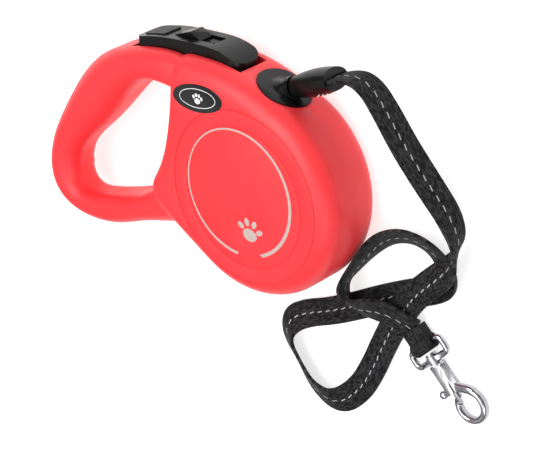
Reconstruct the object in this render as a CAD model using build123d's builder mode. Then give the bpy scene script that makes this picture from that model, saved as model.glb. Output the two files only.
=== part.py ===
"""Retractable cord leash lying on its back shell, with its webbing strap let out.

Millimetres.  The origin is where the spool axis meets the table, +Z is the
spool axis, and -X runs from the spool towards the handle.
"""
import os
from math import asin, atan2, cos, degrees, pi, radians, sin, sqrt, tan

from build123d import *

os.makedirs("parts", exist_ok=True)

# ---- housing ----
DEPTH = 42.0                      # whole thickness of the housing
MID = DEPTH / 2                   # parting plane between the shells
DISC_R = 55.0                     # outer radius of the round spool end
EDGE_R = 11.5                     # rounding between the face and the rim
WALL = 2.6
GRIP_WALL = 4.2
GRIP_ROOM_HALF = 7.0
CHAMBER_R = 51.2                  # room for the spool
CORNER_R = 13.0                   # rounded corners beside the finger hole
WEB_CORNER = (-54.4, -19.9)       # centre of the lower one
FIT = 0.05                        # radial running clearance
# ---- spool and cord ----
CORD_R = 2.0
EXIT_ANGLE = 28.5                 # heading of the cord as it leaves, from +X
CORD_LINE = 45.72                 # distance from the spool axis to the leaving cord
COIL_R = 43.35
HUB_R = 20.0
CUP_R = 18.0
FLANGE_R = 48.2
FLANGE_T = 1.6
TOOTH_COUNT = 15
TOOTH_DEPTH = 2.6
SPOOL_LOW = 8.6                   # underside of the lower flange
SPOOL_HIGH = 33.4                 # top of the upper flange
AXLE_R = 3.0
ARBOR_R = 5.0
BOSS_R = 8.0
WASHER_T = 0.8
# ---- screws ----
SCREW_R = 1.5
SCREW_L = 16.0
HEAD_R = 2.8
HEAD_T = 1.8
SCREWS = [(-112.0, 16.0, 10.0), (-139.0, -42.0, 11.5), (-50.6, 24.0, 10.0), (-52.0, -21.5, 10.0)]
# ---- brake ----
BUTTON_HALF = 9.8
PIVOT = (-24.0, 57.0)
PIN_R = 1.5
PAWL_ANGLE = 138.0
PAWL_W = 7.0
PAWL_TIP_R = 49.0
PAWL_TOP_R = 72.5
PAWL_LOW = 26.0
PAWL_HIGH = 34.0
# ---- nozzle and stopper ----
SEAT_ANGLE = 72.6                 # direction that the nozzle's seat faces
SEAT_AT = (5.4, 54.65)
SEAT_PROUD = 0.9
SEAT_HALF = 15.0
SEAT_TALL = 13.2
NECK_S = 36.2                     # distances along the leaving cord, from its tangent point
STOPPER_START = 39.2
STOPPER_END = 67.0
STRAP_W = 15.0
STRAP_T = 2.2
TUBE_D = 5.0                      # round stand-in for the strap
# ---- snap hook ----
HOOK_AT = (100.0, -68.6)          # swivel end of the barrel
HOOK_ANGLE = -39.8
HOOK_Z = 4.4
BARREL_R = 4.0
BARREL_L = 17.0
EYE_HALF = 12.1                   # centre of the eye's side wires from the hook axis
EYE_WIRE = 1.7
BAR_U = -11.0
RING_C = (26.9, 4.2)              # centre of the hook's curl, along and beside the axis
RING_R = 7.9
BOLT_R = 1.8

heading = Vector(cos(radians(EXIT_ANGLE)), sin(radians(EXIT_ANGLE)), 0)
exit_side = Vector(-heading.Y, heading.X, 0)
tangent_point = exit_side * CORD_LINE + Vector(0, 0, MID)
hook_along = Vector(cos(radians(HOOK_ANGLE)), sin(radians(HOOK_ANGLE)), 0)
hook_side = Vector(-hook_along.Y, hook_along.X, 0)
hook_start = Vector(HOOK_AT[0], HOOK_AT[1], HOOK_Z)


def exit_plane(s):
    """Plane across the leaving cord; its X is sideways in plan, its Y is up."""
    return Plane(origin=tangent_point + heading * s, x_dir=exit_side, z_dir=heading)


def hook_plane(u, v=0.0, z=0.0):
    """Plane across the hook's axis; its X is sideways, its Y is up."""
    origin = hook_start + hook_along * u + hook_side * v + Vector(0, 0, z)
    return Plane(origin=origin, x_dir=hook_side, z_dir=hook_along)


def turned(point, angle, z):
    """Level plane whose X points along an angle."""
    a = radians(angle)
    return Plane(origin=(point[0], point[1], z), x_dir=(cos(a), sin(a), 0), z_dir=(0, 0, 1))


def save(part, name):
    part.label = name
    export_step(part, f"parts/{name}.step")


# =============== housing form ===============
# The pod holds the spool; its outline is arcs joined by two gentle curves.
HANDLE = [                        # x, y, heading, half width, half thickness
    (-48.0, 47.5, 190, 9.5, 19.6),
    (-68.0, 46.6, 196, 8.8, 19.0),
    (-90.0, 38.0, 216, 10.2, 17.6),
    (-112.0, 16.0, 230, 14.0, 16.0),
    (-130.0, -10.0, 243, 11.4, 13.6),
    (-140.2, -32.0, 266, 9.5, 12.2),
    (-134.6, -53.6, 310, 8.2, 11.6),
    (-113.0, -55.8, 12, 7.6, 11.8),
    (-88.0, -46.4, 23, 7.4, 13.6),
    (-67.0, -35.0, 28, 8.6, 16.8),
    (-46.0, -24.5, 26, 9.4, 19.0),
]


def pod_outline():
    start = 70.0
    lean = degrees(asin((DISC_R - CORNER_R) / sqrt(WEB_CORNER[0] ** 2 + WEB_CORNER[1] ** 2)))
    slope = degrees(atan2(-WEB_CORNER[1], -WEB_CORNER[0])) - lean
    join = (-DISC_R * -sin(radians(slope)), -DISC_R * cos(radians(slope)))
    with BuildSketch() as outline:
        with BuildLine():
            first = slope - 90
            CenterArc((0, 0), DISC_R, first, start - first)
            rim = (DISC_R * cos(radians(start)), DISC_R * sin(radians(start)))
            along = (-sin(radians(start)), cos(radians(start)))
            crown = (-46.0, 59.6)
            back = (cos(radians(188)), sin(radians(188)))
            Spline(rim, (-5.0, 58.9), (-27.0, 61.3), crown, tangents=[along, back])
            corner = JernArc(crown, back, CORNER_R, 85)
            low = 243.0
            wall_end = (WEB_CORNER[0] - CORNER_R * -sin(radians(low)), WEB_CORNER[1] - CORNER_R * cos(radians(low)))
            down = (cos(radians(273)), sin(radians(273)))
            out = (cos(radians(low)), sin(radians(low)))
            Spline(corner @ 1, (-57.8, 19.0), (-60.8, 0.0), wall_end, tangents=[down, out])
            turn = JernArc(wall_end, out, CORNER_R, slope + 360 - low)
            Line(turn @ 1, join)
        make_face()
    return outline.sketch


def pod_half():
    """Upper half of the pod with its rounded face."""
    with BuildPart() as form:
        with BuildSketch(Plane.XY.offset(MID)):
            add(pod_outline())
        extrude(amount=MID)
        fillet(form.faces().sort_by(Axis.Z)[-1].edges(), EDGE_R)
    return form.part


def grip_half():
    """Upper half of the grip: a loft of half sections, each flat on the parting plane."""
    with BuildPart() as tube:
        for x, y, way, half_w, half_t in HANDLE:
            a = radians(way)
            plane = Plane(origin=(x, y, MID), x_dir=(-sin(a), cos(a), 0), z_dir=(cos(a), sin(a), 0))
            with BuildSketch(plane):
                RectangleRounded(2 * half_w, 2 * half_t, 0.92 * min(half_w, half_t))
                with Locations((0, -half_t)):
                    Rectangle(2 * half_w, 2 * half_t, mode=Mode.SUBTRACT)
        loft()
    return tube.part


def grip_room():
    """Room along the middle of the grip, inside both shells."""
    sides = ([], [])
    for x, y, way, half_w, half_t in HANDLE[2:9]:
        a = radians(way)
        for points, width in zip(sides, (half_w - GRIP_WALL, GRIP_WALL - half_w)):
            points.append((x - sin(a) * width, y + cos(a) * width))
    with BuildPart() as room:
        with BuildSketch(Plane.XY.offset(MID - GRIP_ROOM_HALF)):
            with BuildLine():
                Spline(*sides[0])
                Spline(*sides[1])
                Line(sides[0][0], sides[1][0])
                Line(sides[0][-1], sides[1][-1])
            make_face()
        extrude(amount=2 * GRIP_ROOM_HALF)
    return room.part


# =============== hollows shared by both shells ===============
RECESS = [(-88.5, 41.5), (-88.0, 52.5), (-87.0, 66.0), (-14.5, 70.0), (-14.5, 56.5), (-30.0, 51.5), (-52.0, 47.2)]


def hollows():
    with BuildPart() as rooms:
        with BuildSketch(Plane.XY.offset(WALL)):
            Circle(CHAMBER_R)
        extrude(amount=DEPTH - 2 * WALL)
        fillet(rooms.edges().filter_by(GeomType.CIRCLE), EDGE_R - WALL)
        with BuildSketch(Plane.XY.offset(MID - BUTTON_HALF - 0.3)):
            with BuildLine():
                Polyline(*RECESS, close=True)
            make_face()
        extrude(amount=2 * BUTTON_HALF + 0.6)
        with BuildSketch(turned((0, 0), PAWL_ANGLE, PAWL_LOW - 0.3)):
            with Locations(((PAWL_TIP_R + PAWL_TOP_R) / 2, 0)):
                Rectangle(PAWL_TOP_R - PAWL_TIP_R + 5, PAWL_W + 0.6)
        extrude(amount=PAWL_HIGH - PAWL_LOW + 0.6)
        with BuildSketch(exit_plane(15.0)):
            Circle(CORD_R + 1.2)
        extrude(amount=24.0)
        with BuildSketch(seat_plane(46.0)):
            Ellipse(SEAT_HALF + 0.05, SEAT_TALL + 0.05)
        extrude(amount=20.0)
    return rooms.part


def seat_plane(distance):
    """Plane facing out of the nozzle's seat, at a distance from the spool axis."""
    a = radians(SEAT_ANGLE)
    out = Vector(cos(a), sin(a), 0)
    across = Vector(sin(a), -cos(a), 0)
    middle = across * (SEAT_AT[0] * across.X + SEAT_AT[1] * across.Y) + Vector(0, 0, MID)
    return Plane(origin=middle + out * distance, x_dir=across, z_dir=out)


rooms = hollows()
with BuildPart() as top_form:
    add(pod_half())
    add(grip_half())
    add(grip_room(), mode=Mode.SUBTRACT)
with BuildPart() as skin:             # the pod moved out a little where the nozzle sits
    with Locations((SEAT_PROUD * cos(radians(SEAT_ANGLE)), SEAT_PROUD * sin(radians(SEAT_ANGLE)), 0)):
        add(pod_half())
    mirror(about=Plane.XY.offset(MID))


def column(point, radius, low, high, mode=Mode.ADD):
    """Upright round solid between two heights, added to the part being built."""
    with Locations((point[0], point[1], (low + high) / 2)):
        Cylinder(radius, high - low, mode=mode)


# =============== badge and face_print: inlays in the printed face ===============
BADGE_AT = (-32.3, 43.6)
BADGE_TILT = 12.0

with BuildPart() as badge:
    with BuildSketch(turned(BADGE_AT, BADGE_TILT, DEPTH - 0.8)):
        Ellipse(16.6, 7.4)
    extrude(amount=1.1)
    fillet(badge.faces().sort_by(Axis.Z)[-1].edges(), 0.3)
save(badge.part, "badge")

with BuildPart() as face_print:
    with BuildSketch(Plane.XY.offset(DEPTH - 0.35)):
        with Locations((-2.6, 1.7)):
            Circle(34.4)
        with Locations((-3.1, 1.9)):
            Circle(33.1, mode=Mode.SUBTRACT)
        with Locations((12.0, -34.0)):
            Rectangle(26.0, 14.0, rotation=-20, mode=Mode.SUBTRACT)
        with Locations((6.0, -18.6)):
            Ellipse(4.6, 3.4)
        with Locations((6.0, -18.6)):
            with PolarLocations(7.0, 4, start_angle=30, angular_range=120, endpoint=True):
                Ellipse(2.2, 1.5)
    extrude(amount=0.4)
save(face_print.part, "face_print")

# =============== front_shell: the printed side ===============
with BuildPart() as front_shell:
    add(top_form.part)
    add(rooms, mode=Mode.SUBTRACT)
    for x, y, seat in SCREWS[:2]:
        column((x, y), HEAD_R + 1.6, MID, MID + 10.5)
    column((0, 0), BOSS_R, SPOOL_HIGH + WASHER_T + 0.2, DEPTH - WALL)
    column((0, 0), ARBOR_R, MID, DEPTH - 6, mode=Mode.SUBTRACT)
    column((0, 0), AXLE_R, MID, DEPTH - 3.2, mode=Mode.SUBTRACT)
    for x, y, seat in SCREWS:
        column((x, y), SCREW_R, MID, seat + SCREW_L + 1, mode=Mode.SUBTRACT)
    column(PIVOT, PIN_R, MID, MID + 12, mode=Mode.SUBTRACT)
    add(badge.part, mode=Mode.SUBTRACT)
    add(face_print.part, mode=Mode.SUBTRACT)
    for radius, low in ((37.5, DEPTH - 0.4), (46.2, DEPTH - 0.75)):
        with BuildSketch(Plane.XY.offset(low)):
            Circle(radius + 0.2)
            Circle(radius - 0.2, mode=Mode.SUBTRACT)
        extrude(amount=2.0, mode=Mode.SUBTRACT)
save(front_shell.part, "front_shell")

# =============== back_shell: the side it lies on ===============
with BuildPart() as back_shell:
    mirror(top_form.part, about=Plane.XY.offset(MID))
    add(rooms, mode=Mode.SUBTRACT)
    for x, y, seat in SCREWS[:2]:
        column((x, y), HEAD_R + 1.6, seat - 1.2, MID)
    column((0, 0), BOSS_R, WALL, SPOOL_LOW - WASHER_T - 0.2)
    column((0, 0), ARBOR_R, 6, MID, mode=Mode.SUBTRACT)
    column((0, 0), AXLE_R, 3.2, MID, mode=Mode.SUBTRACT)
    for x, y, seat in SCREWS:
        column((x, y), HEAD_R + 0.2, -1, seat, mode=Mode.SUBTRACT)
        column((x, y), SCREW_R + 0.2, seat, MID, mode=Mode.SUBTRACT)
    column(PIVOT, PIN_R, MID - 12, MID, mode=Mode.SUBTRACT)
save(back_shell.part, "back_shell")

# =============== housing_screws ===============
with BuildPart() as housing_screws:
    for x, y, seat in SCREWS:
        column((x, y), HEAD_R, seat - HEAD_T, seat)
        column((x, y), SCREW_R, seat, seat + SCREW_L)
        with BuildSketch(Plane.XY.offset(seat - HEAD_T)):
            with Locations((x, y)):
                Rectangle(3.4, 0.8)
                Rectangle(0.8, 3.4)
        extrude(amount=1.1, mode=Mode.SUBTRACT)
save(housing_screws.part, "housing_screws")

# =============== spool: hub, flanges, brake teeth and spring cup ===============
with BuildPart() as spool:
    column((0, 0), FLANGE_R, SPOOL_LOW, SPOOL_LOW + FLANGE_T)
    column((0, 0), FLANGE_R, SPOOL_HIGH - FLANGE_T, SPOOL_HIGH)
    column((0, 0), HUB_R, SPOOL_LOW, SPOOL_HIGH)
    column((0, 0), CUP_R, SPOOL_LOW + FLANGE_T, SPOOL_HIGH, mode=Mode.SUBTRACT)
    column((0, 0), ARBOR_R + FIT, SPOOL_LOW - 1, SPOOL_LOW + 3, mode=Mode.SUBTRACT)
    with BuildSketch(Plane.XY.offset(SPOOL_HIGH - FLANGE_T)):
        with PolarLocations(FLANGE_R, TOOTH_COUNT, start_angle=PAWL_ANGLE):
            Rectangle(2 * TOOTH_DEPTH, PAWL_W + 2.4)
    extrude(amount=FLANGE_T, mode=Mode.SUBTRACT)
    with BuildSketch(Plane.XY.offset(SPOOL_LOW)):
        with PolarLocations(34, 6, start_angle=30):
            Circle(5)
    extrude(amount=FLANGE_T, mode=Mode.SUBTRACT)
save(spool.part, "spool")

# =============== spring_cover: lid pressed into the spool's cup ===============
with BuildPart() as spring_cover:
    column((0, 0), CUP_R, SPOOL_HIGH - 2.2, SPOOL_HIGH)
    column((0, 0), ARBOR_R + FIT, SPOOL_HIGH - 3, SPOOL_HIGH + 1, mode=Mode.SUBTRACT)
save(spring_cover.part, "spring_cover")

# =============== spring_arbor, axle and thrust washers ===============
with BuildPart() as spring_arbor:
    column((0, 0), ARBOR_R, 6, DEPTH - 6)
    column((0, 0), AXLE_R, 6, DEPTH - 6, mode=Mode.SUBTRACT)
save(spring_arbor.part, "spring_arbor")

with BuildPart() as axle:
    column((0, 0), AXLE_R, 3.2, DEPTH - 3.2)
    chamfer(axle.edges().filter_by(GeomType.CIRCLE), 0.4)
save(axle.part, "axle")

with BuildPart() as thrust_washers:
    for low in (SPOOL_LOW - WASHER_T - 0.2, SPOOL_HIGH + 0.2):
        column((0, 0), BOSS_R - 0.4, low, low + WASHER_T)
        column((0, 0), ARBOR_R + 0.1, low, low + WASHER_T, mode=Mode.SUBTRACT)
save(thrust_washers.part, "thrust_washers")

# =============== power_spring: flat strip wound in half turns ===============
STRIP_T = 0.4
STRIP_STEP = 0.6                  # growth in radius with each half turn
STRIP_TURNS = 18                  # half turns
STRIP_START = ARBOR_R + STRIP_T / 2

with BuildPart() as power_spring:
    with BuildSketch(Plane.XY.offset(SPOOL_LOW + FLANGE_T + 0.6)):
        with BuildLine():
            ends = []
            for face in (STRIP_T / 2, -STRIP_T / 2):
                for turn in range(STRIP_TURNS):
                    centre = (0, 0) if turn % 2 == 0 else (STRIP_STEP, 0)
                    radius = STRIP_START + turn * STRIP_STEP + face
                    arc = CenterArc(centre, radius, 180 * (turn % 2), 180)
                    if turn in (0, STRIP_TURNS - 1):
                        ends.append((arc @ 0, arc @ 1))
            Line(ends[0][0], ends[2][0])
            Line(ends[1][1], ends[3][1])
        make_face()
    extrude(amount=SPOOL_HIGH - FLANGE_T - SPOOL_LOW - FLANGE_T - 1.8)
save(power_spring.part, "power_spring")

# =============== wound_cord: the layers on the hub ===============
with BuildPart() as wound_cord:
    column((0, 0), COIL_R, SPOOL_LOW + FLANGE_T + 0.2, SPOOL_HIGH - FLANGE_T - 0.2)
    column((0, 0), HUB_R, SPOOL_LOW, SPOOL_HIGH, mode=Mode.SUBTRACT)
save(wound_cord.part, "wound_cord")

# =============== cord_run: straight cord from the coil to the stopper ===============
with BuildPart() as cord_run:
    with BuildSketch(exit_plane(0)):
        Circle(CORD_R)
    extrude(amount=STOPPER_START + 8)
save(cord_run.part, "cord_run")

# =============== nozzle: seat flange, saddle and collar ring ===============
with BuildPart() as nozzle:
    with BuildSketch(seat_plane(48.5)):
        Ellipse(SEAT_HALF, SEAT_TALL)
    extrude(amount=14)
    add(skin.part, mode=Mode.INTERSECT)
    with BuildSketch(seat_plane(53.4)):
        Ellipse(12.2, 10.8)
    with BuildSketch(seat_plane(57.2)):
        with Locations((1.4, 0)):
            Ellipse(6.2, 6.0)
    with BuildSketch(exit_plane(NECK_S)):
        Ellipse(4.9, 4.5)
    loft()
    with BuildSketch(exit_plane(NECK_S - 0.4)):
        Ellipse(5.8, 5.3)
    extrude(amount=2.6)
    with BuildSketch(exit_plane(12.0)):
        Circle(CORD_R + 0.6)
    extrude(amount=40.0, mode=Mode.SUBTRACT)
save(nozzle.part, "nozzle")

# =============== stopper: soft funnel that joins cord and strap ===============
STOPPER = [(STOPPER_START, 5.0, 4.6), (48.0, 6.5, 6.8), (58.0, 6.8, 8.6), (STOPPER_END, 5.6, 9.0)]

with BuildPart() as stopper:
    for s, wide, tall in STOPPER:
        with BuildSketch(exit_plane(s)):
            Ellipse(wide, tall)
    loft()
    with BuildSketch(exit_plane(STOPPER_START)):
        Circle(CORD_R)
    extrude(amount=8, mode=Mode.SUBTRACT)
    with BuildSketch(exit_plane(STOPPER_END)):
        Rectangle(STRAP_T + 1.0, STRAP_W + 0.4)
    extrude(amount=-1.5, mode=Mode.SUBTRACT)
save(stopper.part, "stopper")

# =============== thumb_pad and lock_slider: both sit in the button's top ===============
SLIDE_ANGLE = 8.5
SLIDE_AT = (-63.5, 61.0)          # rear end of the slider's channel, on its floor
CHANNEL_L = 27.0
SLIDER_HALF = 4.5

with BuildPart() as thumb_pad:
    with BuildSketch(Plane.XY.offset(MID - 6.2)):
        with BuildLine():
            Polyline((-83.0, 56.4), (-83.0, 57.5), (-68.6, 62.1), (-68.6, 60.8), close=True)
        make_face()
    extrude(amount=12.4)
    fillet(thumb_pad.edges().filter_by(lambda e: abs(e.length - 12.4) > 0.1 and e.length < 2), 1.5)
save(thumb_pad.part, "thumb_pad")

with BuildPart() as lock_slider:
    with BuildSketch(turned(SLIDE_AT, SLIDE_ANGLE, MID - SLIDER_HALF)):
        with BuildLine():
            Polyline((0.4, 0.06), (0.4, 1.7), (11.0, 5.0), (15.0, 3.0), (17.0, 1.2), (17.0, 0.06), close=True)
        make_face()
    extrude(amount=2 * SLIDER_HALF)
    ridge = lock_slider.edges().filter_by(Axis.Z).sort_by(Axis.Y)[-1]
    fillet(ridge, 1.0)
save(lock_slider.part, "lock_slider")

# =============== brake_button: rocker along the top of the housing ===============
with BuildPart() as brake_button:
    with BuildSketch(Plane.XY.offset(MID - BUTTON_HALF)):
        with BuildLine():
            Spline((-86.6, 55.4), (-68.0, 61.4), (-48.0, 65.0), (-30.0, 66.4), (-16.6, 62.6))
            Polyline((-16.6, 62.6), (-16.6, 58.6), (-30.0, 54.6), (-52.0, 52.6), (-86.6, 48.0), (-86.6, 55.4))
        make_face()
    extrude(amount=2 * BUTTON_HALF)
    for end_x, round_r in ((-86.6, 5.0), (-16.6, 7.0)):
        posts = brake_button.edges().filter_by(
            lambda e: abs(e.center().X - end_x) < 0.1 and abs(abs(e.center().Z - MID) - BUTTON_HALF) < 0.1)
        fillet(posts, round_r)
    column(PIVOT, PIN_R + FIT, MID - 12, MID + 12, mode=Mode.SUBTRACT)
    with BuildSketch(Plane.XY.offset(MID - 3.4)):
        with Locations(PIVOT):
            Rectangle(9.0, 9.0)
    extrude(amount=6.8, mode=Mode.SUBTRACT)
    with BuildSketch(turned(SLIDE_AT, SLIDE_ANGLE, MID - SLIDER_HALF - 0.2)):
        with Locations((CHANNEL_L / 2, 5)):
            Rectangle(CHANNEL_L, 10)
    extrude(amount=2 * SLIDER_HALF + 0.4, mode=Mode.SUBTRACT)
    add(thumb_pad.part, mode=Mode.SUBTRACT)
save(brake_button.part, "brake_button")

with BuildPart() as button_pin:
    column(PIVOT, PIN_R, MID - 11.6, MID + 11.6)
save(button_pin.part, "button_pin")

with BuildPart() as button_spring:
    with BuildLine() as coil_line:
        Helix(pitch=1.0, height=5.0, radius=2.6, center=(PIVOT[0], PIVOT[1], MID - 2.5))
    with BuildSketch(Plane(origin=coil_line.line @ 0, z_dir=coil_line.line % 0)):
        Circle(0.35)
    sweep(path=coil_line.line, is_frenet=True)
save(button_spring.part, "button_spring")

# =============== brake_pawl: slides into the spool's teeth ===============
with BuildPart() as brake_pawl:
    with BuildSketch(turned((0, 0), PAWL_ANGLE, PAWL_LOW)):
        with BuildLine():
            Polyline((PAWL_TIP_R, -PAWL_W / 2 + 0.6), (PAWL_TIP_R + 2, -PAWL_W / 2), (PAWL_TOP_R, -PAWL_W / 2),
                     (PAWL_TOP_R, PAWL_W / 2), (PAWL_TIP_R + 2, PAWL_W / 2), (PAWL_TIP_R, PAWL_W / 2 - 0.6),
                     close=True)
        make_face()
    extrude(amount=PAWL_HIGH - PAWL_LOW)
save(brake_pawl.part, "brake_pawl")

# =============== leash_strap: the strap's route, end to end ===============
# It bends on edge off the stopper, lies in two loops, and crosses itself in low humps.
strap_start = tangent_point + heading * STOPPER_END
strap_stop = hook_start + hook_along * -21.0
ROUTE = [
    (46.2, 77.1, 20.6), (57.0, 74.5, 19.3), (66.5, 62.5, 17.2), (75.5, 49.5, 15.2), (84.5, 38.5, 13.2),
    (93.8, 28.5, 11.8), (103.5, 19.0, 11.0), (110.5, 6.5, 10.8), (107.8, -6.5, 10.8), (100.6, -16.0, 10.6),
    (93.2, -24.5, 10.0), (85.5, -34.5, 9.2), (78.5, -45.5, 5.4), (71.5, -58.0, 3.0), (65.5, -73.5, 2.6),
    (60.2, -90.5, 2.7), (52.5, -108.0, 2.6), (39.0, -122.5, 2.6), (24.5, -118.0, 4.5), (14.5, -105.5, 6.5),
    (4.5, -95.5, 5.0), (5.0, -85.0, 3.0), (15.5, -77.0, 2.6), (29.5, -70.0, 2.7), (46.0, -59.5, 2.6),
    (62.5, -48.0, 2.6), (79.0, -37.5, 2.6), (91.5, -30.6, 2.7), (99.6, -24.0, 3.2), (101.5, -15.0, 4.6),
    (96.0, -7.5, 6.2), (87.0, -3.3, 7.4), (75.5, -3.4, 8.0), (63.0, -10.5, 8.4), (53.6, -24.5, 8.6),
    (45.4, -38.5, 8.8), (41.8, -46.2, 9.2), (44.2, -52.9, 9.8), (51.5, -54.6, 10.8), (60.0, -51.2, 12.0),
    (69.5, -48.4, 12.2), (77.5, -50.6, 8.8),
]
KNEE = 0.45                       # share of the shorter run that an arc may use


def arc_radii(points):
    radii = []
    for before, here, after in zip(points, points[1:], points[2:]):
        first = Vector(*here) - Vector(*before)
        second = Vector(*after) - Vector(*here)
        turn = first.get_angle(second)
        shorter = min(first.length, second.length)
        radii.append(KNEE * shorter / tan(radians(turn) / 2))
    return radii


route = [tuple(strap_start), *ROUTE, tuple(strap_stop)]
bend_radii = arc_radii(route)
print("strap bend radii", [round(r, 1) for r in bend_radii])

with BuildPart() as leash_strap:
    with BuildLine() as strap_line:
        FilletPolyline(*route, radius=bend_radii)
    with BuildSketch(Plane(origin=strap_line.line @ 0, z_dir=strap_line.line % 0)):
        Circle(TUBE_D / 2)
    sweep(path=strap_line.line)
strap_length = strap_line.wire().length
print("strap length", round(strap_length, 1), "volume", round(leash_strap.part.volume),
      "section x length", round(pi * (TUBE_D / 2) ** 2 * strap_length))
save(leash_strap.part, "leash_strap")

# =============== strap_end: sewn loop round the bar of the eye ===============
LOOP_IN = EYE_WIRE + 0.1

with BuildPart() as strap_end:
    with BuildSketch(Plane(origin=hook_start, x_dir=hook_along, z_dir=-hook_side)):
        with Locations((BAR_U, 0)):
            Circle(LOOP_IN + STRAP_T)
        with Locations(((BAR_U - 21.0) / 2, 0)):
            Rectangle(21.0 + BAR_U, 2 * STRAP_T)
        with Locations((BAR_U, 0)):
            Circle(LOOP_IN, mode=Mode.SUBTRACT)
    extrude(amount=STRAP_W / 2, both=True)
save(strap_end.part, "strap_end")

# =============== snap_eye: wire loop with the swivel boss ===============
BOSS_U = (-4.6, -0.3)

with BuildPart() as snap_eye:
    with BuildLine(Plane(origin=hook_start, x_dir=hook_along, z_dir=(0, 0, 1))) as eye_line:
        FilletPolyline((-2.4, EYE_HALF), (BAR_U, EYE_HALF), (BAR_U, -EYE_HALF), (-2.4, -EYE_HALF),
                       radius=2.6, close=True)
    with BuildSketch(Plane(origin=eye_line.line @ 0, z_dir=eye_line.line % 0)):
        Circle(EYE_WIRE)
    sweep(path=eye_line.line)
    with BuildSketch(hook_plane(BOSS_U[0])):
        Circle(3.5)
    extrude(amount=BOSS_U[1] - BOSS_U[0])
    with BuildSketch(hook_plane(BOSS_U[0] - 1)):
        Circle(2.0 + FIT)
    extrude(amount=6, mode=Mode.SUBTRACT)
save(snap_eye.part, "snap_eye")

# =============== swivel_rivet ===============
with BuildPart() as swivel_rivet:
    with BuildSketch(hook_plane(-6.0)):
        Circle(3.0)
    extrude(amount=1.3)
    with BuildSketch(hook_plane(-4.7)):
        Circle(2.0)
    extrude(amount=7.7)
save(swivel_rivet.part, "swivel_rivet")

# =============== hook_body: barrel with the curled hook ===============
CURL_WIRE = 2.4
CURL_FROM = 130.0
CURL_TURN = 262.0

with BuildPart() as hook_body:
    with BuildSketch(hook_plane(0)):
        RegularPolygon(BARREL_R + 0.3, 8)
    extrude(amount=BARREL_L)
    with BuildSketch(hook_plane(0)):
        Circle(BARREL_R + 0.4)
    extrude(amount=1.6)
    with BuildLine(Plane(origin=hook_start, x_dir=hook_along, z_dir=(0, 0, 1))) as curl_line:
        a = radians(CURL_FROM)
        curl_start = (RING_C[0] + RING_R * cos(a), RING_C[1] + RING_R * sin(a))
        Spline((12.6, 1.4), curl_start, tangents=[(0.86, 0.5), (sin(a), -cos(a))])
        CenterArc(RING_C, RING_R, CURL_FROM, -CURL_TURN)
    with BuildSketch(Plane(origin=curl_line.line @ 0, z_dir=curl_line.line % 0)):
        Circle(CURL_WIRE)
    sweep(path=curl_line.line)
    with BuildSketch(hook_plane(0)):
        Circle(2.0)
    extrude(amount=3.0, mode=Mode.SUBTRACT)
    with BuildSketch(hook_plane(3.2)):
        Circle(BOLT_R + FIT)
    extrude(amount=17.6, mode=Mode.SUBTRACT)
    with BuildSketch(hook_plane(9.3)):
        with Locations((-5, 0)):
            Rectangle(10, 2.6)
    extrude(amount=7.1, mode=Mode.SUBTRACT)
save(hook_body.part, "hook_body")

# =============== snap_bolt with its thumb ball ===============
with BuildPart() as snap_bolt:
    with BuildSketch(hook_plane(10.5)):
        Circle(BOLT_R)
    extrude(amount=10.1)
    with BuildSketch(Plane(origin=hook_start + hook_along * 15.0, x_dir=hook_along, z_dir=-hook_side)):
        Circle(1.0)
    extrude(amount=8.0)
    with Locations(hook_start + hook_along * 15.0 - hook_side * 8.0):
        Sphere(2.4)
save(snap_bolt.part, "snap_bolt")

# =============== bolt_spring, drawn at its closed length ===============
with BuildPart() as bolt_spring:
    with BuildLine() as bolt_coil:
        Helix(pitch=0.7, height=2.1, radius=1.2, center=hook_start + hook_along * 3.5, direction=hook_along)
    with BuildSketch(Plane(origin=bolt_coil.line @ 0, z_dir=bolt_coil.line % 0)):
        Circle(0.25)
    sweep(path=bolt_coil.line, is_frenet=True)
save(bolt_spring.part, "bolt_spring")
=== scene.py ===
from math import cos, radians, sin
import bmesh
import bpy
from mathutils import Matrix, Vector


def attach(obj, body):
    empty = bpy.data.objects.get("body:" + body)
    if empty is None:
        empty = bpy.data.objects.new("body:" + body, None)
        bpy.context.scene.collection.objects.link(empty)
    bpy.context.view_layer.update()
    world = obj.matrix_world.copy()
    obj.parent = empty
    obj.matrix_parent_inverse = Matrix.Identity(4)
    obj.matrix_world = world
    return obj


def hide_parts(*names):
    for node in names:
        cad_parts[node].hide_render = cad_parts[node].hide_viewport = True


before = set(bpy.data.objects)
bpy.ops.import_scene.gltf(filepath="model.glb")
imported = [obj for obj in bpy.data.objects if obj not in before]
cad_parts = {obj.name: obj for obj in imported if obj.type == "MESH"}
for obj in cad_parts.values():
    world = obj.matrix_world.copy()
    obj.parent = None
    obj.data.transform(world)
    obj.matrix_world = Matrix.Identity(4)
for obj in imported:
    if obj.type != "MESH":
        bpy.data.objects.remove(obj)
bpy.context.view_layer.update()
scene = bpy.context.scene
scene.view_settings.view_transform = "Standard"
print("frame loaded")

# camera
view = {
    "place": (0.61956, 0.52851, 0.76906),
    "right": (0.75386, 0.04829, -0.65526),
    "up": (-0.35612, 0.86813, -0.34573),
    "lens": 144.0,
    "sensor": 36.0,
    "reach": 20.0,
}
cameraData = bpy.data.cameras.new("camera")
cameraData.lens = view["lens"]
cameraData.sensor_width = view["sensor"]
cameraData.clip_end = view["reach"]
camera = bpy.data.objects.new("camera", cameraData)
scene.collection.objects.link(camera)
right, up = Vector(view["right"]), Vector(view["up"])
back = right.cross(up)
turned = Matrix((right, up, back)).transposed().to_4x4()
camera.matrix_world = Matrix.Translation(view["place"]) @ turned
scene.camera = camera

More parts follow.
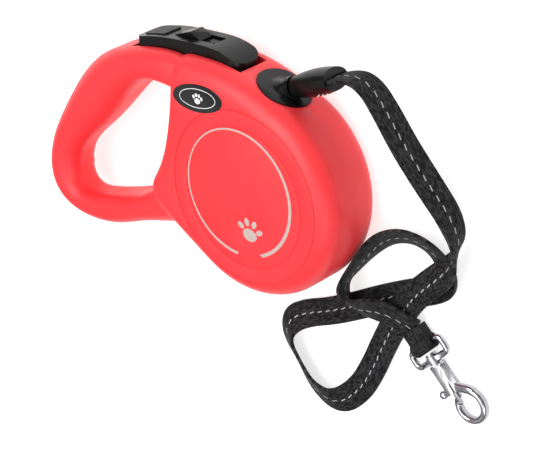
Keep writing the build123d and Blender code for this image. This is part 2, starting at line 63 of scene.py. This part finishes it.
# where the cord leaves the housing, and where the hook starts
outlet = {"turn": radians(28.5), "cordLine": 0.04572, "height": 0.021, "funnelEnd": 0.067}
heading = Vector((cos(outlet["turn"]), sin(outlet["turn"]), 0))
besideCord = Vector((-heading.y, heading.x, 0))
cordStart = besideCord * outlet["cordLine"] + Vector((0, 0, outlet["height"]))
hook = {"turn": radians(-39.8), "start": (0.1, -0.0686)}


def addObject(bm, name):
    mesh = bpy.data.meshes.new(name)
    bm.to_mesh(mesh)
    bm.free()
    piece = bpy.data.objects.new(name, mesh)
    scene.collection.objects.link(piece)
    return piece


def addModifier(piece, kind, **settings):
    modifier = piece.modifiers.new(kind.lower(), kind)
    for key, value in settings.items():
        setattr(modifier, key, value)
    return modifier


# strap: flat webbing that follows one smooth line, turned about it by a few degrees at each point
strap = {
    "width": 0.0150,
    "thickness": 0.0019,
    "length": 0.567,
    "exit": tuple(cordStart + heading * outlet["funnelEnd"]),
    # x, y, z in mm and the turn from flat in degrees
    "route": [
        (37.065, 72.149, 21.0, 90), (46.2, 77.1, 20.6, 88), (57.0, 74.5, 19.3, 80),
        (66.5, 62.5, 17.2, 72), (75.5, 49.5, 15.2, 68), (84.5, 38.5, 13.2, 66),
        (93.8, 28.5, 11.8, 68), (103.5, 19.0, 11.0, 76), (110.5, 6.5, 10.8, 102),
        (107.8, -6.5, 10.8, 142), (100.6, -16.0, 10.6, 174), (93.2, -24.5, 10.0, 184),
        (85.5, -34.5, 9.2, 184), (78.5, -45.5, 5.4, 183), (71.5, -58.0, 3.0, 182),
        (65.5, -73.5, 2.6, 181), (60.2, -90.5, 2.7, 181), (52.5, -108.0, 2.6, 182),
        (39.0, -122.5, 3.4, 196), (24.5, -118.0, 5.6, 214), (14.5, -105.5, 6.6, 222),
        (4.5, -95.5, 5.8, 216), (5.0, -85.0, 3.8, 197), (15.5, -77.0, 2.8, 184),
        (29.5, -70.0, 2.7, 180), (46.0, -59.5, 2.6, 180), (62.5, -48.0, 2.6, 180),
        (79.0, -37.5, 2.6, 180), (91.5, -30.6, 2.7, 183), (99.6, -24.0, 3.3, 188),
        (101.5, -15.0, 4.8, 196), (96.0, -7.5, 6.2, 208), (87.0, -3.3, 7.2, 217),
        (75.5, -3.4, 8.0, 224), (63.0, -10.5, 8.8, 238), (53.6, -24.5, 9.4, 260),
        (45.4, -38.5, 9.8, 272), (41.8, -46.2, 9.8, 282), (44.2, -52.9, 10.2, 300),
        (51.5, -54.6, 11.0, 318), (60.0, -51.2, 12.0, 332), (69.5, -48.4, 12.2, 342),
        (77.5, -50.6, 8.8, 352), (83.866, -55.158, 4.4, 360),
    ],
    "lineSteps": 12,
    "searchAhead": 0.03,
    "lookAhead": 0.0015,
    "turnBlend": (-0.006, -0.003, 0, 0.003, 0.006),
    "edge": 0.0005,
    "edgeAngle": radians(50),
    "alongCuts": 720,
    "acrossCuts": 8,
}


def smoothLine(points):
    curve = bpy.data.curves.new("strapLine", "CURVE")
    curve.dimensions = "3D"
    spline = curve.splines.new("NURBS")
    spline.points.add(len(points) - 1)
    for point, place in zip(spline.points, points):
        point.co = (*place, 1.0)
    spline.order_u = 3
    spline.use_endpoint_u = True
    spline.resolution_u = strap["lineSteps"]
    holder = bpy.data.objects.new("strapLine", curve)
    scene.collection.objects.link(holder)
    bpy.context.view_layer.update()
    mesh = bpy.data.meshes.new_from_object(holder)
    places = [v.co.copy() for v in mesh.vertices]
    bpy.data.objects.remove(holder)
    bpy.data.curves.remove(curve)
    bpy.data.meshes.remove(mesh)
    return places


def distances(places):
    run = [0.0]
    for a, b in zip(places, places[1:]):
        run.append(run[-1] + (b - a).length)
    return run


def lookUp(run, values, d):
    d = min(max(d, 0.0), run[-1])
    low, high = 0, len(run) - 1
    while high - low > 1:
        middle = (low + high) // 2
        if run[middle] <= d:
            low = middle
        else:
            high = middle
    share = (d - run[low]) / max(run[high] - run[low], 1e-9)
    return values[low] * (1 - share) + values[high] * share


controls = [Vector(p[:3]) / 1000 for p in strap["route"]]
line = smoothLine(controls)
lineRun = distances(line)
# each turn belongs to the place on the line that is nearest its point
turnRun = [0.0]
for control in controls[1:-1]:
    latest = turnRun[-1] + strap["searchAhead"]
    ahead = [i for i, d in enumerate(lineRun) if turnRun[-1] <= d <= latest]
    turnRun.append(lineRun[min(ahead, key=lambda i: (line[i] - control).length)])
turnRun.append(lineRun[-1])
turns = [float(p[3]) for p in strap["route"]]


def strapFrame(d):
    step = strap["lookAhead"]
    place = lookUp(lineRun, line, d)
    ahead = (lookUp(lineRun, line, d + step) - lookUp(lineRun, line, d - step)).normalized()
    level = ahead.cross(Vector((0, 0, 1))).normalized()
    above = level.cross(ahead)
    nearby = [lookUp(turnRun, turns, d + shift) for shift in strap["turnBlend"]]
    turn = radians(sum(nearby) / len(nearby))
    return place, level * cos(turn) + above * sin(turn)


bm = bmesh.new()
bm.loops.layers.uv.new("cloth")
bmesh.ops.create_grid(bm, x_segments=strap["alongCuts"], y_segments=strap["acrossCuts"], size=0.5,
                      calc_uvs=True)
for vert in bm.verts:
    place, across = strapFrame((vert.co.x + 0.5) * lineRun[-1])
    vert.co = place + across * (vert.co.y * strap["width"])
bmesh.ops.recalc_face_normals(bm, faces=bm.faces)
strapPiece = addObject(bm, "webbingStrap")
addModifier(strapPiece, "SOLIDIFY", thickness=strap["thickness"], offset=0.0, use_even_offset=False)
addModifier(strapPiece, "BEVEL", width=strap["edge"], segments=2, limit_method="ANGLE",
            angle_limit=strap["edgeAngle"])
for face in strapPiece.data.polygons:
    face.use_smooth = True
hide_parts("leash_strap")
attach(strapPiece, "leader")
print("strap length", round(lineRun[-1], 4))


# pieces that keep the CAD shape: merged, shaded smooth and given small rounded edges
rounding = {"double": 2e-6, "sliver": 1e-6, "sharp": radians(35)}


def roundedCopy(node, name, body, edge):
    bm = bmesh.new()
    bm.from_mesh(bpy.data.objects[node].data)
    bmesh.ops.remove_doubles(bm, verts=bm.verts, dist=rounding["double"])
    bmesh.ops.dissolve_degenerate(bm, edges=bm.edges, dist=rounding["sliver"])
    piece = addObject(bm, name)
    for face in piece.data.polygons:
        face.use_smooth = True
    piece.data.set_sharp_from_angle(angle=rounding["sharp"])
    if edge:
        addModifier(piece, "BEVEL", width=edge, segments=2, limit_method="ANGLE",
                    angle_limit=rounding["sharp"])
    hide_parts(node)
    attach(piece, body)
    return piece


# finishes
def finish(name, color, rough, metal=0.0):
    made = bpy.data.materials.new(name)
    made.use_nodes = True
    made.diffuse_color = (*color, 1)
    nodes = made.node_tree.nodes
    shader = nodes["Principled BSDF"]
    shader.inputs["Base Color"].default_value = (*color, 1)
    shader.inputs["Roughness"].default_value = rough
    shader.inputs["Metallic"].default_value = metal
    return made, nodes, made.node_tree.links, shader


def objectPoint(nodes):
    return nodes.new("ShaderNodeTexCoord").outputs["Object"]


def noise(nodes, links, where, scale, detail=3.0, rough=0.5):
    node = nodes.new("ShaderNodeTexNoise")
    node.inputs["Scale"].default_value = scale
    node.inputs["Detail"].default_value = detail
    node.inputs["Roughness"].default_value = rough
    links.new(where, node.inputs["Vector"])
    return node.outputs["Fac"]


def ramp(nodes, links, value, low, high, colors):
    node = nodes.new("ShaderNodeValToRGB")
    node.color_ramp.elements[0].position = low
    node.color_ramp.elements[1].position = high
    node.color_ramp.elements[0].color = (*colors[0], 1)
    node.color_ramp.elements[1].color = (*colors[1], 1)
    links.new(value, node.inputs["Fac"])
    return node.outputs["Color"]


noiseRange = (0.25, 0.75)  # nearly all noise values lie in here


def spread(nodes, links, value, low, high):
    node = nodes.new("ShaderNodeMapRange")
    node.inputs["From Min"].default_value = noiseRange[0]
    node.inputs["From Max"].default_value = noiseRange[1]
    node.inputs["To Min"].default_value = low
    node.inputs["To Max"].default_value = high
    links.new(value, node.inputs["Value"])
    return node.outputs["Result"]


def bump(nodes, links, shader, value, strength, depth):
    node = nodes.new("ShaderNodeBump")
    node.inputs["Strength"].default_value = strength
    node.inputs["Distance"].default_value = depth
    links.new(value, node.inputs["Height"])
    links.new(node.outputs["Normal"], shader.inputs["Normal"])


def maths(nodes, links, operation, a, b):
    node = nodes.new("ShaderNodeMath")
    node.operation = operation
    for socket, value in zip(node.inputs, (a, b)):
        if isinstance(value, (int, float)):
            socket.default_value = value
        else:
            links.new(value, socket)
    return node.outputs[0]


def blendColor(nodes, links, share, first, second):
    node = nodes.new("ShaderNodeMix")
    node.data_type = "RGBA"
    links.new(share, node.inputs["Factor"])
    for socket, value in ((node.inputs[6], first), (node.inputs[7], second)):
        if isinstance(value, tuple):
            socket.default_value = (*value, 1)
        else:
            links.new(value, socket)
    return node.outputs[2]


ovalDepth = 1000.0  # so deep that height never puts a point outside the oval


# 1 inside an oval that lies level at a centre, 0 outside it
def ovalMask(nodes, links, where, centre, half, turn=0.0):
    node = nodes.new("ShaderNodeMapping")
    node.vector_type = "TEXTURE"
    node.inputs["Location"].default_value = (centre[0], centre[1], 0)
    node.inputs["Rotation"].default_value = (0, 0, turn)
    node.inputs["Scale"].default_value = (half[0], half[1], ovalDepth)
    links.new(where, node.inputs["Vector"])
    size = nodes.new("ShaderNodeVectorMath")
    size.operation = "LENGTH"
    links.new(node.outputs["Vector"], size.inputs[0])
    return maths(nodes, links, "LESS_THAN", size.outputs["Value"], 1.0)


plasticLook = {
    "coralPlastic": {
        "light": (0.90, 0.040, 0.048), "dark": (0.85, 0.032, 0.040),
        "rough": 0.44, "grain": 2600, "depth": 0.00004, "gloss": 0.4,
    },
    "blackSatinPlastic": {
        "light": (0.0045, 0.0048, 0.005), "dark": (0.003, 0.0032, 0.0034),
        "rough": 0.27, "grain": 2400, "depth": 0.00003, "gloss": 0.22,
    },
    "blackSoftRubber": {
        "light": (0.0045, 0.0045, 0.0048), "dark": (0.003, 0.003, 0.0032),
        "rough": 0.3, "grain": 1800, "depth": 0.00004, "gloss": 0.22,
    },
    "greyPadRubber": {
        "light": (0.030, 0.031, 0.032), "dark": (0.022, 0.023, 0.024),
        "rough": 0.55, "grain": 2200, "depth": 0.00006, "gloss": 0.25,
    },
    "innerWhitePlastic": {
        "light": (0.72, 0.72, 0.69), "dark": (0.64, 0.64, 0.61),
        "rough": 0.45, "grain": 1500, "depth": 0.00004, "gloss": 0.5,
    },
}
moulding = {
    "mottle": 28, "patches": 160, "smoother": 0.05, "rougher": 0.06,
    "grainDetail": 4, "grainRough": 0.6, "bump": 0.35,
}


def mouldedPlastic(name):
    look = plasticLook[name]
    made, nodes, links, shader = finish(name, look["light"], look["rough"])
    where = objectPoint(nodes)
    mottle = noise(nodes, links, where, moulding["mottle"])
    patches = noise(nodes, links, where, moulding["patches"])
    grain = noise(nodes, links, where, look["grain"], moulding["grainDetail"], moulding["grainRough"])
    color = ramp(nodes, links, mottle, 0.3, 0.7, (look["dark"], look["light"]))
    links.new(color, shader.inputs["Base Color"])
    links.new(spread(nodes, links, patches, look["rough"] - moulding["smoother"],
                     look["rough"] + moulding["rougher"]), shader.inputs["Roughness"])
    shader.inputs["Specular IOR Level"].default_value = look["gloss"]
    bump(nodes, links, shader, grain, moulding["bump"], look["depth"])
    return made


coral = mouldedPlastic("coralPlastic")
blackSatin = mouldedPlastic("blackSatinPlastic")
blackRubber = mouldedPlastic("blackSoftRubber")
greyRubber = mouldedPlastic("greyPadRubber")
innerPlastic = mouldedPlastic("innerWhitePlastic")

metalLook = {
    "polishedChrome": {
        "light": (0.50, 0.50, 0.52), "dark": (0.36, 0.36, 0.38), "rough": 0.13, "scratch": 0.3,
    },
    "springSteel": {
        "light": (0.6, 0.6, 0.61), "dark": (0.5, 0.5, 0.51), "rough": 0.28, "scratch": 0.4,
    },
}
polish = {"cloud": 220, "patches": 500, "smoother": 0.7, "rougher": 1.5, "marks": 350, "depth": 0.00006}


def brightMetal(name):
    look = metalLook[name]
    made, nodes, links, shader = finish(name, look["light"], look["rough"], 1.0)
    where = objectPoint(nodes)
    cloud = noise(nodes, links, where, polish["cloud"])
    patches = noise(nodes, links, where, polish["patches"])
    color = ramp(nodes, links, cloud, 0.35, 0.7, (look["dark"], look["light"]))
    links.new(color, shader.inputs["Base Color"])
    links.new(spread(nodes, links, patches, look["rough"] * polish["smoother"],
                     look["rough"] * polish["rougher"]), shader.inputs["Roughness"])
    marks = noise(nodes, links, where, polish["marks"], 2)
    bump(nodes, links, shader, marks, look["scratch"], polish["depth"])
    return made


chrome = brightMetal("polishedChrome")
steel = brightMetal("springSteel")

webbingLook = {
    "black": (0.0025, 0.0025, 0.0027),
    "grey": (0.045, 0.045, 0.048),
    "thread": (0.42, 0.43, 0.44),
    "dashPitch": 0.0058,
    "dashLength": 0.0031,
    "dashWidth": 0.0006,
    "gap": (0.001, 0.001, 0.001),
    "rib": 0.0013,
    "ribLength": 1.5,
    "ribHeight": 0.62,
    "gapWidth": 0.11,
    "gapSoftness": 0.8,
    "dashSlant": 0.16,
    "fuzzScale": 3500,
    "fuzzShare": 0.5,
    "bump": 0.8,
    "depth": 0.00022,
    "rough": 0.62,
    "sheen": 0.02,
    "sheenRough": 0.4,
    "gloss": 0.12,
}


# woven cloth in metres along and across the strap, with or without the dashed thread
def webbing(where, nodes, links, shader, dashes):
    look = webbingLook
    weave = nodes.new("ShaderNodeTexBrick")
    weave.offset = 0.5
    weave.inputs["Scale"].default_value = 1.0
    weave.inputs["Brick Width"].default_value = look["rib"] * look["ribLength"]
    weave.inputs["Row Height"].default_value = look["rib"] * look["ribHeight"]
    weave.inputs["Mortar Size"].default_value = look["rib"] * look["gapWidth"]
    weave.inputs["Mortar Smooth"].default_value = look["gapSoftness"]
    weave.inputs["Color1"].default_value = (*look["grey"], 1)
    weave.inputs["Color2"].default_value = (*look["black"], 1)
    weave.inputs["Mortar"].default_value = (*look["gap"], 1)
    links.new(where, weave.inputs["Vector"])
    color = weave.outputs["Color"]
    height = maths(nodes, links, "SUBTRACT", 1.0, weave.outputs["Fac"])
    if dashes:
        parts = nodes.new("ShaderNodeSeparateXYZ")
        links.new(where, parts.inputs[0])
        step = maths(nodes, links, "MODULO", parts.outputs["X"], look["dashPitch"])
        inDash = maths(nodes, links, "LESS_THAN", step, look["dashLength"])
        slant = maths(nodes, links, "MULTIPLY", step, look["dashSlant"])
        side = maths(nodes, links, "SUBTRACT", parts.outputs["Y"], slant)
        off = maths(nodes, links, "ABSOLUTE", side, 0.0)
        inRow = maths(nodes, links, "LESS_THAN", off, look["dashWidth"] / 2)
        thread = maths(nodes, links, "MULTIPLY", inDash, inRow)
        color = blendColor(nodes, links, thread, color, look["thread"])
        height = maths(nodes, links, "ADD", height, thread)
    links.new(color, shader.inputs["Base Color"])
    fuzz = noise(nodes, links, where, look["fuzzScale"], 2)
    fuzz = maths(nodes, links, "MULTIPLY", fuzz, look["fuzzShare"])
    height = maths(nodes, links, "ADD", height, fuzz)
    bump(nodes, links, shader, height, look["bump"], look["depth"])
    shader.inputs["Sheen Weight"].default_value = look["sheen"]
    shader.inputs["Sheen Roughness"].default_value = look["sheenRough"]
    shader.inputs["Specular IOR Level"].default_value = look["gloss"]


def strapCloth():
    made, nodes, links, shader = finish("wovenStrap", webbingLook["black"], webbingLook["rough"])
    uv = nodes.new("ShaderNodeUVMap")
    uv.uv_map = "cloth"
    metres = nodes.new("ShaderNodeMapping")
    metres.inputs["Location"].default_value = (0, -strap["width"] / 2, 0)
    metres.inputs["Scale"].default_value = (lineRun[-1], strap["width"], 1)
    links.new(uv.outputs["UV"], metres.inputs["Vector"])
    webbing(metres.outputs["Vector"], nodes, links, shader, True)
    return made


def endCloth():
    made, nodes, links, shader = finish("wovenStrapEnd", webbingLook["black"], webbingLook["rough"])
    turned = nodes.new("ShaderNodeMapping")
    turned.vector_type = "TEXTURE"
    turned.inputs["Location"].default_value = (*hook["start"], 0)
    turned.inputs["Rotation"].default_value = (0, 0, hook["turn"])
    links.new(objectPoint(nodes), turned.inputs["Vector"])
    webbing(turned.outputs["Vector"], nodes, links, shader, False)
    return made


strapPiece.data.materials.append(strapCloth())

cordLook = {
    "base": (0.012, 0.012, 0.013), "light": (0.03, 0.03, 0.032), "dark": (0.006, 0.006, 0.006),
    "rough": 0.6, "strands": 260, "twist": 2.0, "bump": 0.5, "depth": 0.0002,
}
cordBraid, nodes, links, shader = finish("blackCord", cordLook["base"], cordLook["rough"])
strands = nodes.new("ShaderNodeTexWave")
strands.inputs["Scale"].default_value = cordLook["strands"]
strands.inputs["Distortion"].default_value = cordLook["twist"]
links.new(objectPoint(nodes), strands.inputs["Vector"])
links.new(ramp(nodes, links, strands.outputs["Fac"], 0.2, 0.9, (cordLook["dark"], cordLook["light"])),
          shader.inputs["Base Color"])
bump(nodes, links, shader, strands.outputs["Fac"], cordLook["bump"], cordLook["depth"])
print("finishes made")

# badge: gloss black with a thin oval line and a plain paw
badgeLook = {
    "turn": radians(12),
    "ringCentre": (-0.0322, 0.0437),
    "ringHalf": (0.0122, 0.0051),
    "ringLine": 0.00034,
    "paw": (-0.0320, 0.0432),
    # each pad's place from the paw's middle, and its half width and height
    "pads": [
        (0, -0.0009, 0.0019, 0.0015), (-0.0026, 0.0008, 0.0007, 0.001),
        (-0.001, 0.0021, 0.0007, 0.001), (0.0009, 0.0022, 0.0007, 0.001),
        (0.0026, 0.0011, 0.0007, 0.001),
    ],
    "black": (0.006, 0.006, 0.006),
    "dark": (0.005, 0.005, 0.005),
    "light": (0.009, 0.009, 0.009),
    "marks": (0.85, 0.85, 0.84),
    "rough": (0.13, 0.2),
}
badgeGloss, nodes, links, shader = finish("badgeGloss", badgeLook["black"], 0.16)
where = objectPoint(nodes)
ringMiddle, ringTurn = badgeLook["ringCentre"], badgeLook["turn"]
innerHalf = [h - badgeLook["ringLine"] for h in badgeLook["ringHalf"]]
outer = ovalMask(nodes, links, where, ringMiddle, badgeLook["ringHalf"], ringTurn)
inner = ovalMask(nodes, links, where, ringMiddle, innerHalf, ringTurn)
marks = maths(nodes, links, "SUBTRACT", outer, inner)
pawX, pawY = badgeLook["paw"]
for dx, dy, halfX, halfY in badgeLook["pads"]:
    pad = ovalMask(nodes, links, where, (pawX + dx, pawY + dy), (halfX, halfY), ringTurn)
    marks = maths(nodes, links, "MAXIMUM", marks, pad)
mottle = noise(nodes, links, where, 300)
mottle = ramp(nodes, links, mottle, 0.3, 0.7, (badgeLook["dark"], badgeLook["light"]))
links.new(blendColor(nodes, links, marks, mottle, badgeLook["marks"]), shader.inputs["Base Color"])
smears = noise(nodes, links, where, 240)
links.new(spread(nodes, links, smears, *badgeLook["rough"]), shader.inputs["Roughness"])
bump(nodes, links, shader, noise(nodes, links, where, 500), 0.15, 0.00003)

inkLook = {
    "base": (0.55, 0.46, 0.42), "dark": (0.5, 0.4, 0.36), "light": (0.62, 0.54, 0.5),
    "rough": (0.3, 0.45), "metal": 0.25,
}
printInk, nodes, links, shader = finish("silverInk", inkLook["base"], 0.38)
where = objectPoint(nodes)
flakes = noise(nodes, links, where, 900)
inkColor = ramp(nodes, links, flakes, 0.3, 0.75, (inkLook["dark"], inkLook["light"]))
links.new(inkColor, shader.inputs["Base Color"])
wear = noise(nodes, links, where, 700)
links.new(spread(nodes, links, wear, *inkLook["rough"]), shader.inputs["Roughness"])
shader.inputs["Metallic"].default_value = inkLook["metal"]
bump(nodes, links, shader, noise(nodes, links, where, 1800), 0.2, 0.00003)

# visible pieces
visible = [
    # node, name, body, slot, finish, edge
    ("front_shell", "frontShell", "housing", "housing_red", coral, 0.00025),
    ("back_shell", "backShell", "housing", "housing_red", coral, 0.00025),
    ("nozzle", "cordOutlet", "housing", "black_plastic", blackSatin, 0.0004),
    ("stopper", "softFunnel", "leader", "black_rubber", blackRubber, 0.0005),
    ("brake_button", "brakeRocker", "button", "black_plastic", blackSatin, 0.0006),
    ("thumb_pad", "thumbPad", "button", "grey_rubber", greyRubber, 0.0002),
    ("lock_slider", "lockSlider", "slider", "black_plastic", blackSatin, 0.0004),
    ("badge", "ovalBadge", "housing", "badge_black", badgeGloss, 0.0),
    ("snap_eye", "swivelEye", "eye_body", "chrome", chrome, 0.0),
    ("swivel_rivet", "swivelRivet", "hook", "chrome", chrome, 0.0002),
    ("hook_body", "snapHook", "hook", "chrome", chrome, 0.00025),
    ("snap_bolt", "snapBolt", "bolt", "chrome", chrome, 0.0002),
    ("strap_end", "sewnLoop", "leader", "webbing", endCloth(), 0.0004),
    ("housing_screws", "housingScrews", "housing", "steel", steel, 0.0001),
]
for node, name, body, slot, look, edge in visible:
    piece = roundedCopy(node, name, body, edge)
    piece.data.materials.append(look)
print("visible pieces made")

# stitches where the strap enters the funnel
stitches = {
    "from": 0.0583, "step": 0.0019, "count": 5, "length": 0.0011, "thick": 0.00028,
    "out": 0.0067, "down": 0.0107, "startAngle": -34, "angleStep": 5, "slant": 0.5,
}
bm = bmesh.new()
size = (stitches["length"], stitches["thick"], stitches["thick"], 1)
lie = Matrix.Rotation(outlet["turn"] + stitches["slant"], 4, "Z") @ Matrix.Diagonal(size)
for i in range(stitches["count"]):
    along = heading * (stitches["from"] + i * stitches["step"])
    angle = radians(stitches["startAngle"] + i * stitches["angleStep"])
    out = besideCord * stitches["out"] * cos(angle)
    down = Vector((0, 0, stitches["down"] * sin(angle)))
    made = bmesh.ops.create_uvsphere(bm, u_segments=10, v_segments=6, radius=1.0)
    spot = Matrix.Translation(cordStart + along - out - down)
    bmesh.ops.transform(bm, matrix=spot @ lie, verts=made["verts"])
stitchPiece = addObject(bm, "funnelStitches")
for face in stitchPiece.data.polygons:
    face.use_smooth = True
threadLook = {"base": (0.8, 0.8, 0.79), "dark": (0.6, 0.6, 0.59), "light": (0.85, 0.85, 0.84)}
threadWhite, nodes, links, shader = finish("whiteThread", threadLook["base"], 0.6)
where = objectPoint(nodes)
fibres = noise(nodes, links, where, 2500)
links.new(ramp(nodes, links, fibres, 0.3, 0.7, (threadLook["dark"], threadLook["light"])),
          shader.inputs["Base Color"])
bump(nodes, links, shader, noise(nodes, links, where, 4000), 0.4, 0.0001)
stitchPiece.data.materials.append(threadWhite)
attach(stitchPiece, "leader")

# CAD nodes that stay as they are
kept = {
    "face_print": printInk, "spool": innerPlastic, "spring_cover": innerPlastic,
    "spring_arbor": innerPlastic, "thrust_washers": innerPlastic, "brake_pawl": innerPlastic,
    "axle": steel, "power_spring": steel, "button_pin": steel, "button_spring": steel,
    "bolt_spring": steel, "wound_cord": cordBraid, "cord_run": cordBraid,
}
for node, look in kept.items():
    target = bpy.data.objects[node]
    target.data.materials.clear()
    target.data.materials.append(look)
print("CAD pieces finished")

# floor and light
floor = {
    "size": 4.0, "height": -0.0001, "dark": (0.5, 0.5, 0.5), "light": (0.52, 0.52, 0.52),
    "rough": 0.7, "gloss": 0.1, "glow": 0.72,
}
bm = bmesh.new()
bmesh.ops.create_grid(bm, x_segments=4, y_segments=4, size=floor["size"])
bmesh.ops.translate(bm, verts=bm.verts, vec=(0, 0, floor["height"]))
floorPiece = addObject(bm, "floor")
floorPaint, nodes, links, shader = finish("paleFloor", floor["dark"], floor["rough"])
clouds = noise(nodes, links, objectPoint(nodes), 6)
links.new(ramp(nodes, links, clouds, 0.2, 0.8, (floor["dark"], floor["light"])), shader.inputs["Base Color"])
shader.inputs["Specular IOR Level"].default_value = floor["gloss"]
shader.inputs["Emission Color"].default_value = (1, 1, 1, 1)
shader.inputs["Emission Strength"].default_value = floor["glow"]
floorPiece.data.materials.append(floorPaint)

# a bright ceiling over darker walls, for the metal to mirror: height from 0 to 1, and brightness
room = {
    "bottom": (0.32, 0.32, 0.33),
    "top": (1, 1, 1),
    "bands": [(0.30, 0.10), (0.42, 0.06), (0.62, 0.85), (0.80, 0.25), (0.86, 0.9)],
    "strength": 1.0,
}
world = bpy.data.worlds.new("softRoom")
world.use_nodes = True
nodes, links = world.node_tree.nodes, world.node_tree.links
facing = nodes.new("ShaderNodeTexCoord")
parts = nodes.new("ShaderNodeSeparateXYZ")
links.new(facing.outputs["Generated"], parts.inputs[0])
bands = nodes.new("ShaderNodeValToRGB")
bands.color_ramp.elements[0].position = 0.0
bands.color_ramp.elements[0].color = (*room["bottom"], 1)
bands.color_ramp.elements[1].position = 1.0
bands.color_ramp.elements[1].color = (*room["top"], 1)
for place, level in room["bands"]:
    stop = bands.color_ramp.elements.new(place)
    stop.color = (level, level, level, 1)
links.new(parts.outputs["Z"], bands.inputs["Fac"])
links.new(bands.outputs["Color"], nodes["Background"].inputs["Color"])
nodes["Background"].inputs["Strength"].default_value = room["strength"]
scene.world = world
lamps = {
    # place, target, size, watts
    "keyLamp": ((-0.25, 0.55, 1.1), (0, 0, 0), 0.8, 10.0),
    "fillLamp": ((0.9, -0.35, 0.8), (0, 0, 0), 0.7, 4.0),
    "topLamp": ((0.1, 0.0, 1.4), (0, 0, 0), 1.0, 5.0),
}
for name, (place, target, size, watts) in lamps.items():
    lampData = bpy.data.lights.new(name, "AREA")
    lampData.size = size
    lampData.energy = watts
    lamp = bpy.data.objects.new(name, lampData)
    lamp.location = place
    lamp.rotation_euler = (Vector(target) - Vector(place)).to_track_quat("-Z", "Y").to_euler()
    scene.collection.objects.link(lamp)
print("lights set")
